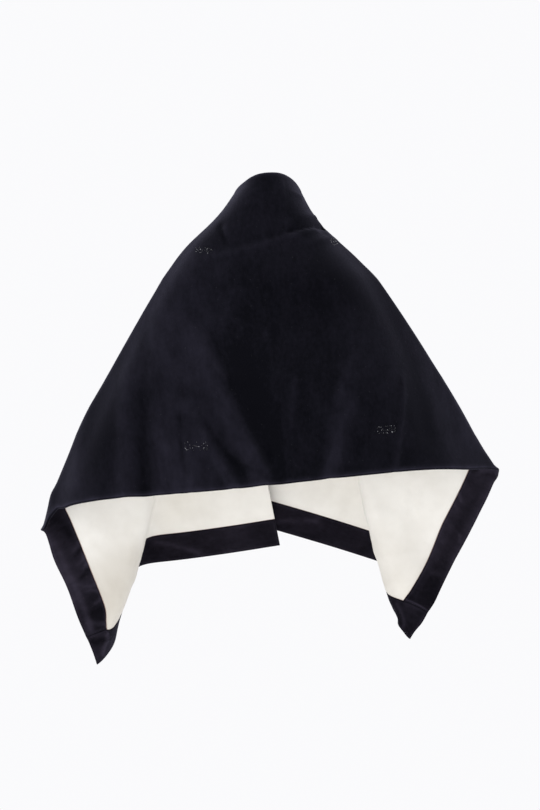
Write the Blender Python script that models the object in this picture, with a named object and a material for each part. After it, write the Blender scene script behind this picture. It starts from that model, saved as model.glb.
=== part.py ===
"""Lined velvet stole worn as a cape: one rectangle draped round the neck, shoulders and free-hanging arms.

Metres, +Z up. The origin is the base of the wearer's neck, the wearer faces -Y and +X is the wearer's left.
The cloth is first laid out flat: u runs along its length and v from the hem to the upper edge.
Straight rays of the flat cloth, which all point at one place above the neck, then fall as a cone does,
so the cloth bends but does not stretch.
"""
import math

import bmesh
import bpy
import numpy as np
from mathutils import Vector
from mathutils.geometry import delaunay_2d_cdt

# The flat cut
LENGTH = 1.500
WIDTH = 0.530
BAND = 0.050
HALF = LENGTH / 2
LINING_END = HALF - BAND

# Thickness of each cloth, and the gaps between them
VELVET = 0.0022
LINING = 0.0010
FACING = 0.0014
GAP = 0.0003

# The place over the neck that the rays point at, and where the flat cloth lies below it
APEX_OUT = -0.005
APEX_UP = 0.236
APEX_TO_HEM = 0.650
FOOT = -0.028
FOOT_OUT = -0.103

# Level section of the cape: out and back are per metre of drop below the apex, neck_out and neck_back are
# metres at the neck, soft is how much of each side its bend takes up, tuck moves an under layer inwards
# name, out, back, soft, neck_out, neck_back, tuck
SECTION = (
    ("right end", 0.330, -0.290, 1.00, 0.050, -0.100, 0.000),
    ("right over left", 0.130, -0.290, 1.00, 0.020, -0.104, 0.000),
    ("right front", -0.140, -0.285, 1.00, -0.012, -0.104, 0.000),
    ("right side", -0.320, -0.265, 0.90, -0.045, -0.088, 0.000),
    ("right pipe", -0.236, -0.118, 0.75, -0.066, -0.055, 0.000),
    ("right turn", -0.367, -0.130, 0.45, -0.078, -0.022, 0.000),
    ("right fold", -0.649, -0.012, 0.25, -0.082, 0.003, 0.000),
    ("right arm", -0.460, 0.150, 0.90, -0.068, 0.033, 0.000),
    ("right blade", -0.200, 0.200, 0.90, -0.036, 0.056, 0.000),
    ("left blade", 0.190, 0.174, 0.90, 0.036, 0.056, 0.000),
    ("left arm", 0.446, 0.150, 0.90, 0.068, 0.033, 0.000),
    ("left fold", 0.568, 0.020, 0.35, 0.082, 0.003, 0.000),
    ("left turn", 0.409, -0.032, 0.90, 0.078, -0.022, 0.000),
    ("left pipe", 0.285, -0.075, 0.70, 0.066, -0.055, 0.000),
    ("left side", 0.330, -0.325, 0.90, 0.045, -0.088, 0.008),
    ("left front", 0.145, -0.280, 1.00, 0.012, -0.104, 0.016),
    ("left under right", -0.120, -0.260, 1.00, -0.020, -0.104, 0.016),
    ("left end", -0.330, -0.250, 1.00, -0.050, -0.100, 0.016),
)
BACK_OF_SECTION = 0.19
FRONT_OF_SECTION = 0.25
LEFT_OF_NECK_ROW = 9

# How the section changes on the way down: drop, times wide on each side, and metres added behind and before
# name, drop, wide_left, wide_right, behind, before
LEVELS = (
    ("collar top", 0.10, 0.160, 0.385, -0.020, -0.005),
    ("collar", 0.17, 0.755, 0.840, 0.000, 0.015),
    ("neck base", 0.23, 1.100, 1.010, 0.010, -0.005),
    ("shoulder", 0.29, 1.050, 1.018, 0.020, -0.013),
    ("upper arm", 0.36, 1.045, 1.025, 0.010, -0.010),
    ("elbow", 0.48, 1.035, 1.015, 0.010, -0.008),
    ("forearm", 0.56, 1.020, 0.995, 0.005, -0.008),
    ("hem", 0.64, 0.985, 1.000, 0.000, -0.007),
    ("below hem", 0.73, 0.957, 1.000, 0.000, -0.007),
)
NECK_ENDS = 0.140
BODY_BEGINS = 0.305

# The largest folds, as lines on the flat cloth: each is a soft ridge, or a trough where its height is negative
# name, from_u, from_v, to_u, to_v, half_width, height_from, height_to
FOLDS = (
    ("collar ridge", -0.118, 0.460, 0.060, 0.408, 0.014, 0.006, 0.002),
    ("collar crease", -0.135, 0.441, 0.075, 0.384, 0.013, -0.008, -0.002),
    ("right back ridge", -0.136, 0.194, -0.072, 0.000, 0.024, 0.001, 0.006),
    ("left back ridge", 0.131, 0.247, 0.036, 0.000, 0.028, 0.002, 0.009),
    ("left back trough", 0.070, 0.260, 0.012, 0.000, 0.022, -0.001, -0.005),
    ("left low ridge", 0.133, 0.090, 0.090, 0.000, 0.014, 0.001, 0.005),
    ("left arm trough", 0.209, 0.284, 0.243, 0.000, 0.018, -0.001, -0.005),
    ("left arm ridge", 0.254, 0.213, 0.277, 0.000, 0.020, 0.001, 0.005),
    ("right hem curl", -0.490, -0.004, -0.650, -0.004, 0.036, -0.008, -0.011),
)

# Lines that the cloth is cut into facets along
STEPS_IN_BEND = 4
LAST_RAY = math.radians(80)
BODY_ROW = 0.027
NECK_ROW = 0.017
NECK_FROM = 0.380
DROPS = np.concatenate([np.linspace(0.06, 0.40, 35), np.linspace(0.42, 1.15, 16)])
NORMAL_STEP = 0.0015


def smooth_between(at: np.ndarray, stops: np.ndarray, values: np.ndarray) -> np.ndarray:
    """Value of a smooth curve through the given stops, held level past both ends."""
    at = np.clip(at, stops[0], stops[-1])
    span = np.diff(stops)
    slope = np.diff(values) / span
    tangent = np.empty_like(values)
    tangent[1:-1] = (span[:-1] * slope[1:] + span[1:] * slope[:-1]) / (span[:-1] + span[1:])
    tangent[0], tangent[-1] = slope[0], slope[-1]
    i = np.clip(np.searchsorted(stops, at) - 1, 0, len(stops) - 2)
    t = (at - stops[i]) / span[i]
    start = (1 + 2 * t) * (1 - t) ** 2 * values[i] + t * (1 - t) ** 2 * span[i] * tangent[i]
    end = t ** 2 * (3 - 2 * t) * values[i + 1] - t ** 2 * (1 - t) * span[i] * tangent[i + 1]
    return start + end


def rounded_section(steps: int) -> tuple[np.ndarray, np.ndarray]:
    """Points (out, back) round the section with each bend rounded, and the index of each row's middle."""
    corner = np.array([row[1:3] for row in SECTION])
    points, middles = [corner[0]], [0]
    for i in range(1, len(SECTION) - 1):
        soft = 0.5 * SECTION[i][3]
        start = corner[i] + soft * (corner[i - 1] - corner[i])
        end = corner[i] + soft * (corner[i + 1] - corner[i])
        middles.append(len(points) + steps // 2)
        for t in np.linspace(0, 1, steps + 1):
            points.append((1 - t) ** 2 * start + 2 * t * (1 - t) * corner[i] + t ** 2 * end)
    points.append(corner[-1])
    middles.append(len(points) - 1)
    return np.array(points), np.array(middles)


def ray_angles(section: np.ndarray, middles: np.ndarray) -> np.ndarray:
    """Angle that each point of the section has on the flat cloth, measured from the ray at the foot."""
    ray = np.column_stack([section, -np.ones(len(section))])
    ray /= np.linalg.norm(ray, axis=1)[:, None]
    turn = np.arccos(np.clip((ray[1:] * ray[:-1]).sum(axis=1), -1, 1))
    angle = np.concatenate([[0], np.cumsum(turn)])
    back = slice(middles[LEFT_OF_NECK_ROW - 1], middles[LEFT_OF_NECK_ROW] + 1)
    return angle - np.interp(FOOT_OUT, section[back, 0], angle[back])


SECTION_LINE, ROW_MIDDLES = rounded_section(24)
SECTION_ANGLE = ray_angles(SECTION_LINE, ROW_MIDDLES)
ROW_ANGLE = SECTION_ANGLE[ROW_MIDDLES]


def drape(flat: np.ndarray) -> np.ndarray:
    """Place on the body of each flat point (u, v), on the inner face of the velvet."""
    beside, below = flat[:, 0] - FOOT, APEX_TO_HEM - flat[:, 1]
    angle = np.arctan2(beside, below)
    out = np.interp(angle, SECTION_ANGLE, SECTION_LINE[:, 0])[:, None]
    back = np.interp(angle, SECTION_ANGLE, SECTION_LINE[:, 1])[:, None]
    column = {name: np.array([row[k] for row in SECTION]) for name, k in
              (("neck_out", 4), ("neck_back", 5), ("tuck", 6))}
    neck_out, neck_back, tuck = (smooth_between(angle, ROW_ANGLE, column[name])[:, None]
                                 for name in ("neck_out", "neck_back", "tuck"))
    level = np.array([row[1:] for row in LEVELS])
    wide_left, wide_right, behind, before = (smooth_between(DROPS, level[:, 0], level[:, k])
                                             for k in (1, 2, 3, 4))
    t = np.clip((DROPS - NECK_ENDS) / (BODY_BEGINS - NECK_ENDS), 0, 1)
    body = t * t * (3 - 2 * t)
    x = (out * DROPS * body + neck_out * (1 - body)) * np.where(out > 0, wide_left, wide_right)
    y = back * DROPS * body + neck_back * (1 - body) + tuck
    y = y + behind * np.clip(back / BACK_OF_SECTION, 0, 1) + before * np.clip(-back / FRONT_OF_SECTION, 0, 1)
    along = np.sqrt(np.diff(x) ** 2 + np.diff(y) ** 2 + np.diff(DROPS) ** 2)
    reach = DROPS[0] + np.cumsum(np.column_stack([np.zeros(len(x)), along]), axis=1)
    place = [_at_reach(np.hypot(beside, below), reach, values) for values in (x, y, -DROPS + 0 * x)]
    return np.column_stack(place) + (APEX_OUT, 0, APEX_UP)


def _at_reach(wanted: np.ndarray, reach: np.ndarray, values: np.ndarray) -> np.ndarray:
    """Reads each row of values where that row's reach equals the wanted one."""
    row = np.arange(len(wanted))
    k = np.clip((reach < wanted[:, None]).sum(axis=1) - 1, 0, reach.shape[1] - 2)
    t = (wanted - reach[row, k]) / (reach[row, k + 1] - reach[row, k])
    return values[row, k] + t * (values[row, k + 1] - values[row, k])


def outward(flat: np.ndarray) -> np.ndarray:
    """Unit normal of the draped cloth, away from the wearer."""
    along = drape(flat + (NORMAL_STEP, 0)) - drape(flat - (NORMAL_STEP, 0))
    across = drape(flat + (0, NORMAL_STEP)) - drape(flat - (0, NORMAL_STEP))
    normal = np.cross(across, along)
    return normal / np.linalg.norm(normal, axis=1)[:, None]


def fold_height(flat: np.ndarray) -> np.ndarray:
    """How far the folds lift each flat point off the plain drape."""
    height = np.zeros(len(flat))
    for _, from_u, from_v, to_u, to_v, half_width, height_from, height_to in FOLDS:
        start, line = np.array((from_u, from_v)), np.array((to_u - from_u, to_v - from_v))
        t = np.clip((flat - start) @ line / (line @ line), 0, 1)
        away = np.linalg.norm(flat - start - t[:, None] * line, axis=1) / half_width
        height += (height_from + t * (height_to - height_from)) * np.exp(-2 * away ** 2)
    return height


def facet_lines() -> list[tuple[tuple[float, float], tuple[float, float]]]:
    """Lines on the flat cloth that its facets follow: rays, rows, and the borders of the bands."""
    rows = np.concatenate([[0, BAND / 2, BAND], np.arange(BAND + BODY_ROW, NECK_FROM, BODY_ROW),
                           np.arange(NECK_FROM, WIDTH - NECK_ROW / 2, NECK_ROW), [WIDTH]])
    lines = [((-HALF, v), (HALF, v)) for v in rows]
    lines += [((u, 0), (u, WIDTH)) for u in (-HALF, -LINING_END, LINING_END, HALF)]
    for angle in ray_angles(*rounded_section(STEPS_IN_BEND)):
        if abs(angle) < LAST_RAY:
            slope = math.tan(angle)
            low = 0.0
            if abs(FOOT + slope * APEX_TO_HEM) > HALF:
                low = APEX_TO_HEM - (math.copysign(HALF, slope) - FOOT) / slope
            ends = [(FOOT + slope * (APEX_TO_HEM - v), v) for v in (low, WIDTH)]
            lines.append(tuple(ends))
    return lines


def flat_facets() -> tuple[np.ndarray, np.ndarray]:
    """Triangles of the whole flat cloth, which every piece shares so that the layers never touch."""
    lines = facet_lines()
    points = [Vector(point) for line in lines for point in line]
    edges = [(i, i + 1) for i in range(0, len(points), 2)]
    found = delaunay_2d_cdt(points, edges, [], 0, 1e-4, False)
    return np.array([tuple(point) for point in found[0]]), np.array([tuple(face) for face in found[2]])


def cloth_material(name: str, colour: tuple[float, float, float], roughness: float) -> bpy.types.Material:
    """Plain shaded material in the cloth's colour."""
    material = bpy.data.materials.new(name)
    material.use_nodes = True
    shader = material.node_tree.nodes["Principled BSDF"]
    shader.inputs["Base Color"].default_value = (*colour, 1)
    shader.inputs["Roughness"].default_value = roughness
    shader.inputs["Metallic"].default_value = 0
    return material


def cloth_piece(name: str, span_u: tuple[float, float], span_v: tuple[float, float],
                faces_at: tuple[float, float], material: bpy.types.Material) -> None:
    """Closed thin solid over one rectangle of the flat cloth.

    Args:
        name: The object's name.
        span_u: Where the rectangle starts and ends along the length.
        span_v: Where it starts and ends across the width.
        faces_at: Distances of its inner and outer face from the inner face of the velvet.
        material: Its cloth.
    """
    middle = FLAT_POINTS[FLAT_FACETS].mean(axis=1)
    inside = ((middle > (span_u[0], span_v[0])) & (middle < (span_u[1], span_v[1]))).all(axis=1)
    used, facets = np.unique(FLAT_FACETS[inside], return_inverse=True)
    facets = facets.reshape(-1, 3)
    flat = np.clip(FLAT_POINTS[used], (span_u[0], span_v[0]), (span_u[1], span_v[1]))
    base, normal, lift = drape(flat), outward(flat), fold_height(flat)[:, None]
    mesh = bmesh.new()
    inner, outer = ([mesh.verts.new(place) for place in base + normal * (lift + at)] for at in faces_at)
    for a, b, c in facets:
        mesh.faces.new((inner[a], inner[b], inner[c]))
        mesh.faces.new((outer[c], outer[b], outer[a]))
    sides = {(a, b) for facet in facets for a, b in zip(facet, np.roll(facet, -1))}
    for a, b in sides:
        if (b, a) not in sides:
            mesh.faces.new((inner[b], inner[a], outer[a], outer[b]))
    data = bpy.data.meshes.new(name)
    mesh.to_mesh(data)
    mesh.free()
    data.materials.append(material)
    data.shade_smooth()
    data.set_sharp_from_angle(angle=math.radians(50))
    bpy.context.scene.collection.objects.link(bpy.data.objects.new(name, data))


for old in list(bpy.data.objects):
    bpy.data.objects.remove(old)

FLAT_POINTS, FLAT_FACETS = flat_facets()
velvet = cloth_material("black velvet", (0.008, 0.008, 0.012), 0.85)
facing = cloth_material("black velvet facing", (0.008, 0.008, 0.012), 0.85)
satin = cloth_material("ivory satin", (0.82, 0.79, 0.73), 0.40)

cloth_piece("velvet_shell", (-HALF, HALF), (0, WIDTH), (0, VELVET), velvet)
cloth_piece("lining", (-LINING_END + GAP / 2, LINING_END - GAP / 2), (BAND + GAP / 2, WIDTH),
            (-GAP - LINING, -GAP), satin)
cloth_piece("hem_facing", (-LINING_END + GAP / 2, LINING_END - GAP / 2), (0, BAND - GAP / 2),
            (-GAP - FACING, -GAP), facing)
for side, sign in (("left", 1), ("right", -1)):
    span = sorted((sign * (LINING_END + GAP / 2), sign * HALF))
    cloth_piece(f"{side}_end_facing", tuple(span), (0, WIDTH), (-GAP - FACING, -GAP), facing)
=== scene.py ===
"""Black velvet stole with an ivory satin lining, worn as a cape and seen from the back.

Metres, +Z up, the wearer faces -Y and +X is the wearer's left. Every cloth is made as a grid on the flat cut,
where u runs along its length and v from the hem to the upper edge. It gets its thickness and turned edges
there, and is then draped: straight rays of the cut, which all point at one place above the neck, fall as a
cone does, and soft folds lift the cloth off that form.
"""
import logging
import math
from dataclasses import dataclass, field
from enum import Enum

import bmesh
import bpy
import numpy as np
from mathutils import Matrix, Vector


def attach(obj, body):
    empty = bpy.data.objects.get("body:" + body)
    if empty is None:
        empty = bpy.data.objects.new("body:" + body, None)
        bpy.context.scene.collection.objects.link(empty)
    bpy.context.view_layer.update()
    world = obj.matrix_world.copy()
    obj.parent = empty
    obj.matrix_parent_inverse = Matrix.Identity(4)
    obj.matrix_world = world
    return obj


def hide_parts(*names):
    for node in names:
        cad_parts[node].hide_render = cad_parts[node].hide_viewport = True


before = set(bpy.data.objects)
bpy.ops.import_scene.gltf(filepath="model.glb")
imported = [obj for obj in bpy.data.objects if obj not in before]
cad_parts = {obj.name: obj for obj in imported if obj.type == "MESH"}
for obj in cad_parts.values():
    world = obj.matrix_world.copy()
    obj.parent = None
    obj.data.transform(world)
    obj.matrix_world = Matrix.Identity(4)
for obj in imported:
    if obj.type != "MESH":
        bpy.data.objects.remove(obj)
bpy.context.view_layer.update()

LOG = logging.getLogger("cape")


class Slot(Enum):
    """Material slots of the record."""

    VELVET = "black_velvet"
    SATIN = "ivory_satin"
    FACING = "velvet_facing"


class Face(Enum):
    """Faces of a cloth: the outer one looks away from the wearer."""

    OUTER = 1
    INNER = -1


@dataclass(frozen=True)
class SectionRow:
    """One bend of the level section through the draped cape.

    out and back are per metre of drop, neck_out and neck_back are metres at the neck, soft is how much of each
    side the bend takes up, and tuck moves an under layer inwards.
    """

    name: str
    out: float
    back: float
    soft: float
    neck_out: float
    neck_back: float
    tuck: float


SECTION = (
    SectionRow("right end", 0.330, -0.290, 1.00, 0.050, -0.100, 0.000),
    SectionRow("right over left", 0.130, -0.290, 1.00, 0.020, -0.104, 0.000),
    SectionRow("right front", -0.140, -0.285, 1.00, -0.012, -0.104, 0.000),
    SectionRow("right side", -0.320, -0.265, 0.90, -0.045, -0.088, 0.000),
    SectionRow("right pipe", -0.236, -0.118, 0.75, -0.066, -0.055, 0.000),
    SectionRow("right turn", -0.367, -0.130, 0.45, -0.078, -0.022, 0.000),
    SectionRow("right fold", -0.649, -0.012, 0.25, -0.082, 0.003, 0.000),
    SectionRow("right arm", -0.460, 0.150, 0.90, -0.068, 0.033, 0.000),
    SectionRow("right blade", -0.200, 0.200, 0.90, -0.036, 0.056, 0.000),
    SectionRow("left blade", 0.190, 0.174, 0.90, 0.036, 0.056, 0.000),
    SectionRow("left arm", 0.446, 0.150, 0.90, 0.068, 0.033, 0.000),
    SectionRow("left fold", 0.568, 0.020, 0.35, 0.082, 0.003, 0.000),
    SectionRow("left turn", 0.409, -0.032, 0.90, 0.078, -0.022, 0.000),
    SectionRow("left pipe", 0.285, -0.075, 0.70, 0.066, -0.055, 0.000),
    SectionRow("left side", 0.330, -0.325, 0.90, 0.045, -0.088, 0.008),
    SectionRow("left front", 0.145, -0.280, 1.00, 0.012, -0.104, 0.016),
    SectionRow("left under right", -0.120, -0.260, 1.00, -0.020, -0.104, 0.016),
    SectionRow("left end", -0.330, -0.250, 1.00, -0.050, -0.100, 0.016),
)


@dataclass(frozen=True)
class LevelRow:
    """How the section changes at one drop below the apex: times wide, and metres added behind and before."""

    name: str
    drop: float
    wide_left: float
    wide_right: float
    behind: float
    before: float


LEVELS = (
    LevelRow("collar top", 0.10, 0.160, 0.385, -0.020, -0.005),
    LevelRow("collar", 0.17, 0.755, 0.840, 0.000, 0.015),
    LevelRow("neck base", 0.23, 1.100, 1.010, 0.010, -0.005),
    LevelRow("shoulder", 0.29, 1.050, 1.018, 0.020, -0.013),
    LevelRow("upper arm", 0.36, 1.045, 1.025, 0.010, -0.010),
    LevelRow("elbow", 0.48, 1.035, 1.015, 0.010, -0.008),
    LevelRow("forearm", 0.56, 1.020, 0.995, 0.005, -0.008),
    LevelRow("hem", 0.64, 0.985, 1.000, 0.000, -0.007),
    LevelRow("below hem", 0.73, 0.957, 1.000, 0.000, -0.007),
)


def smooth_between(at: np.ndarray, stops: np.ndarray, values: np.ndarray) -> np.ndarray:
    """Value of a smooth curve through the given stops, held level past both ends.

    Args:
        at: Places to read it at.
        stops: Rising places that the curve is given at.
        values: Its values there.

    Returns:
        The curve's value at each place.
    """
    at = np.clip(at, stops[0], stops[-1])
    span = np.diff(stops)
    slope = np.diff(values) / span
    tangent = np.empty_like(values)
    tangent[1:-1] = (span[:-1] * slope[1:] + span[1:] * slope[:-1]) / (span[:-1] + span[1:])
    tangent[0], tangent[-1] = slope[0], slope[-1]
    i = np.clip(np.searchsorted(stops, at) - 1, 0, len(stops) - 2)
    t = (at - stops[i]) / span[i]
    start = (1 + 2 * t) * (1 - t) ** 2 * values[i] + t * (1 - t) ** 2 * span[i] * tangent[i]
    end = t ** 2 * (3 - 2 * t) * values[i + 1] - t ** 2 * (1 - t) * span[i] * tangent[i + 1]
    return start + end


def column(rows: tuple, name: str) -> np.ndarray:
    """One field of a table's rows, as an array."""
    return np.array([getattr(row, name) for row in rows])


@dataclass(frozen=True)
class Fold:
    """Soft ridge along a line of the flat cut, or a trough where its height is negative.

    bow moves the middle of the line sideways, and crisp narrows its top.
    """

    name: str
    from_u: float
    from_v: float
    to_u: float
    to_v: float
    half_width: float
    height_from: float
    height_to: float
    bow: float = 0.0
    crisp: float = 0.0

    def height(self, flat: np.ndarray) -> np.ndarray:
        """How far the fold lifts each flat point.

        Args:
            flat: Points (u, v), a row each.

        Returns:
            Lift in metres, a value each.
        """
        start = np.array((self.from_u, self.from_v))
        line = np.array((self.to_u, self.to_v)) - start
        span = math.hypot(*line)
        t = np.clip((flat - start) @ line / span ** 2, 0, 1)
        side = np.array((-line[1], line[0])) / span
        nearest = start + t[:, None] * line + (4 * t * (1 - t) * self.bow)[:, None] * side
        away = np.linalg.norm(flat - nearest, axis=1) / self.half_width
        soft = np.exp(-2 * away ** 2)
        sharp = np.exp(-2.6 * away)
        lift = self.height_from + t * (self.height_to - self.height_from)
        return lift * ((1 - self.crisp) * soft + self.crisp * sharp)


MAIN_FOLDS = (
    Fold("collar ridge", -0.120, 0.462, -0.040, 0.438, 0.013, 0.0050, 0.0004),
    Fold("collar crease", -0.138, 0.446, -0.050, 0.426, 0.007, -0.0056, -0.0022),
    Fold("collar crease end", -0.050, 0.426, 0.090, 0.394, 0.009, -0.0012, -0.0006),
    Fold("right back ridge", -0.136, 0.194, -0.072, 0.000, 0.024, 0.001, 0.006),
    Fold("left back ridge", 0.131, 0.247, 0.036, 0.000, 0.028, 0.002, 0.009),
    Fold("left back trough", 0.070, 0.260, 0.012, 0.000, 0.022, -0.001, -0.005),
    Fold("left low ridge", 0.133, 0.090, 0.090, 0.000, 0.014, 0.001, 0.005),
    Fold("left arm trough", 0.209, 0.284, 0.243, 0.000, 0.018, -0.001, -0.005),
    Fold("left arm ridge", 0.254, 0.213, 0.277, 0.000, 0.020, 0.001, 0.005),
    Fold("right hem curl", -0.490, -0.004, -0.650, -0.004, 0.036, -0.008, -0.011),
)

FINE_FOLDS = (
    Fold("centre crease", -0.021, 0.452, 0.001, 0.064, 0.007, -0.0008, -0.0008, 0.008, 0.4),
    Fold("centre small crease", 0.002, 0.332, 0.010, 0.306, 0.006, -0.0012, -0.0006, 0.002, 0.3),
    Fold("centre thin ridge", 0.010, 0.250, 0.004, 0.138, 0.008, 0.0014, 0.0022, -0.003, 0.3),
    Fold("short ridge", -0.031, 0.168, -0.018, 0.092, 0.008, 0.0016, 0.0026, 0.002, 0.3),
    Fold("right upper strand", -0.138, 0.204, -0.096, 0.122, 0.012, 0.0012, 0.0026, 0.004, 0.2),
    Fold("right lower strand", -0.098, 0.066, -0.070, 0.000, 0.011, 0.0016, 0.0034, 0.002, 0.3),
    Fold("right narrow ridge", -0.216, 0.158, -0.180, 0.000, 0.009, 0.0012, 0.0036, -0.004, 0.5),
    Fold("left upper ridge", 0.128, 0.262, 0.086, 0.186, 0.018, 0.0010, 0.0022, 0.003),
    Fold("left middle trough", 0.100, 0.262, 0.024, 0.040, 0.014, -0.0014, -0.0034, 0.006, 0.2),
    Fold("left low trough", 0.166, 0.122, 0.169, 0.036, 0.009, -0.0034, -0.0022, 0.002, 0.4),
    Fold("left slant trough", 0.122, 0.106, 0.070, 0.026, 0.011, -0.0024, -0.0030, 0.003, 0.2),
    Fold("left slant ridge", 0.136, 0.122, 0.092, 0.010, 0.011, 0.0012, 0.0030, 0.006, 0.2),
    Fold("left hem crease", 0.080, 0.044, 0.026, 0.002, 0.008, -0.0024, -0.0034, -0.003, 0.4),
    Fold("left hem ridge", 0.157, 0.064, 0.164, 0.000, 0.009, 0.0016, 0.0024, 0.000, 0.3),
    Fold("left hem second ridge", 0.195, 0.076, 0.190, 0.000, 0.010, 0.0014, 0.0024, 0.000, 0.2),
    Fold("left shoulder crease", 0.055, 0.330, 0.080, 0.260, 0.010, 0.0012, 0.0020, 0.004, 0.3),
    Fold("small slant crease", 0.064, 0.284, 0.049, 0.268, 0.006, 0.0014, 0.0008, 0.000, 0.4),
    Fold("second slant crease", 0.056, 0.290, 0.040, 0.276, 0.006, -0.0010, -0.0006, 0.000, 0.4),
    Fold("collar fine crease", -0.124, 0.450, -0.046, 0.426, 0.005, -0.0024, -0.0012, -0.004, 0.6),
    Fold("collar light line", -0.110, 0.434, 0.094, 0.388, 0.009, 0.0026, 0.0014, -0.004, 0.3),
    Fold("collar lower roll", -0.140, 0.420, -0.060, 0.402, 0.012, 0.0036, 0.0004, -0.003, 0.2),
    Fold("collar dent", 0.078, 0.444, 0.062, 0.414, 0.010, -0.0030, -0.0030, 0.000, 0.2),
    Fold("collar dent ridge", 0.066, 0.440, 0.050, 0.414, 0.008, 0.0016, 0.0012, 0.000, 0.2),
    Fold("collar upright", -0.018, 0.510, -0.010, 0.420, 0.007, -0.0008, -0.0008, 0.002, 0.4),
    Fold("collar side upright", -0.046, 0.510, -0.038, 0.417, 0.008, 0.0010, 0.0008, -0.002, 0.4),
    Fold("collar notch", -0.094, 0.496, -0.060, 0.495, 0.007, 0.0030, 0.0008, 0.000, 0.4),
    Fold("right shoulder stroke", -0.132, 0.438, -0.154, 0.422, 0.008, 0.0016, 0.0012, 0.000, 0.4),
    Fold("right arm fall", -0.330, 0.330, -0.350, 0.060, 0.035, 0.0015, 0.0030, 0.012),
    Fold("right blade fall", -0.180, 0.360, -0.250, 0.060, 0.030, -0.0015, -0.0025, -0.010),
    Fold("left arm fall", 0.330, 0.330, 0.380, 0.040, 0.030, 0.0015, 0.0030, -0.010),
    Fold("right corner pinch", -0.430, 0.034, -0.400, 0.000, 0.007, 0.0020, 0.0030, 0.004, 0.5),
    Fold("right band crease", -0.689, 0.042, -0.692, 0.002, 0.006, -0.0024, -0.0028, 0.000, 0.6),
    Fold("right band turn", -0.706, 0.040, -0.712, 0.002, 0.010, 0.0010, 0.0010, 0.000, 0.2),
    Fold("right tip crease", -0.730, 0.070, -0.742, 0.034, 0.007, -0.0020, -0.0010, 0.002, 0.4),
    Fold("left band crease", 0.711, 0.046, 0.698, 0.000, 0.008, 0.0030, 0.0024, 0.003, 0.4),
    Fold("left band dark crease", 0.722, 0.044, 0.708, 0.000, 0.008, -0.0026, -0.0020, 0.002, 0.3),
    Fold("left band upper crease", 0.668, 0.042, 0.661, 0.008, 0.009, -0.0018, -0.0014, 0.002, 0.3),
    Fold("left corner crease", 0.481, 0.000, 0.497, 0.034, 0.008, 0.0022, 0.0012, -0.002, 0.4),
    Fold("left front fall", 0.560, 0.060, 0.520, 0.330, 0.030, 0.0010, 0.0030, 0.010),
    Fold("right front fall", -0.580, 0.060, -0.520, 0.330, 0.034, 0.0030, 0.0015, -0.010),
    Fold("right front crease", -0.640, 0.120, -0.540, 0.400, 0.016, -0.0020, -0.0030, 0.008, 0.2),
    Fold("left front crease", 0.650, 0.120, 0.590, 0.380, 0.018, -0.0015, -0.0028, -0.008, 0.2),
)


@dataclass(frozen=True)
class Pull:
    """Place where the cloth is drawn a little along its own cut."""

    name: str
    middle_u: float
    middle_v: float
    reach_u: float
    reach_v: float
    move_u: float
    move_v: float

    def shift(self, flat: np.ndarray) -> np.ndarray:
        """How far each flat point is drawn.

        Args:
            flat: Points (u, v), a row each.

        Returns:
            Shifts (u, v), a row each.
        """
        away = (flat - (self.middle_u, self.middle_v)) / (self.reach_u, self.reach_v)
        return np.exp(-2 * (away ** 2).sum(axis=1))[:, None] * (self.move_u, self.move_v)


PULLS = (
    Pull("left corner", 0.466, 0.000, 0.024, 0.040, 0.000, -0.011),
    Pull("beside left corner", 0.424, 0.000, 0.014, 0.030, 0.000, 0.005),
    Pull("right corner", -0.412, 0.000, 0.014, 0.026, 0.000, -0.003),
    Pull("right tip", -0.752, -0.004, 0.042, 0.030, 0.004, 0.013),
)


@dataclass(frozen=True)
class Nudge:
    """Place where the draped cloth hangs a little off the plain form."""

    name: str
    middle_u: float
    middle_v: float
    reach_u: float
    reach_v: float
    out: float
    up: float

    def move(self, flat: np.ndarray) -> np.ndarray:
        """How far each flat point's place moves.

        Args:
            flat: Points (u, v), a row each.

        Returns:
            Moves (x, y, z) in metres, a row each.
        """
        away = (flat - (self.middle_u, self.middle_v)) / (self.reach_u, self.reach_v)
        return np.exp(-2 * (away ** 2).sum(axis=1))[:, None] * (self.out, 0, self.up)


NUDGES = (
    Nudge("hem", 0.000, 0.000, 0.500, 0.160, 0.0000, -0.0048),
    Nudge("hem left end", 0.395, 0.000, 0.040, 0.060, 0.0000, 0.0018),
    Nudge("hem right end", -0.375, 0.000, 0.050, 0.060, 0.0000, 0.0032),
    Nudge("left corner", 0.472, 0.000, 0.030, 0.045, -0.0035, -0.0100),
    Nudge("left corner gathers", 0.440, 0.030, 0.016, 0.030, 0.0020, 0.0030),
    Nudge("left fin", 0.440, 0.110, 0.040, 0.070, 0.0020, 0.0000),
    Nudge("left band outer", 0.548, 0.000, 0.050, 0.030, 0.0045, 0.0000),
    Nudge("left band outer low", 0.665, 0.000, 0.060, 0.025, 0.0028, 0.0000),
    Nudge("left band inner low", 0.695, 0.050, 0.026, 0.030, 0.0050, -0.0030),
    Nudge("left tip flap", 0.705, 0.075, 0.035, 0.035, 0.0085, -0.0160),
    Nudge("left end low", 0.735, 0.140, 0.075, 0.095, 0.0080, -0.0125),
    Nudge("left tip", 0.752, 0.000, 0.030, 0.030, 0.0000, -0.0045),
    Nudge("right band inner", -0.620, 0.050, 0.075, 0.028, -0.0065, 0.0000),
    Nudge("right seam", -0.700, 0.025, 0.022, 0.060, 0.0000, 0.0070),
    Nudge("right tip flap", -0.752, 0.036, 0.030, 0.028, 0.0010, 0.0085),
    Nudge("right tip side", -0.745, 0.060, 0.035, 0.030, -0.0090, 0.0040),
    Nudge("right tip", -0.752, 0.000, 0.022, 0.022, 0.0000, -0.0060),
)


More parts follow.
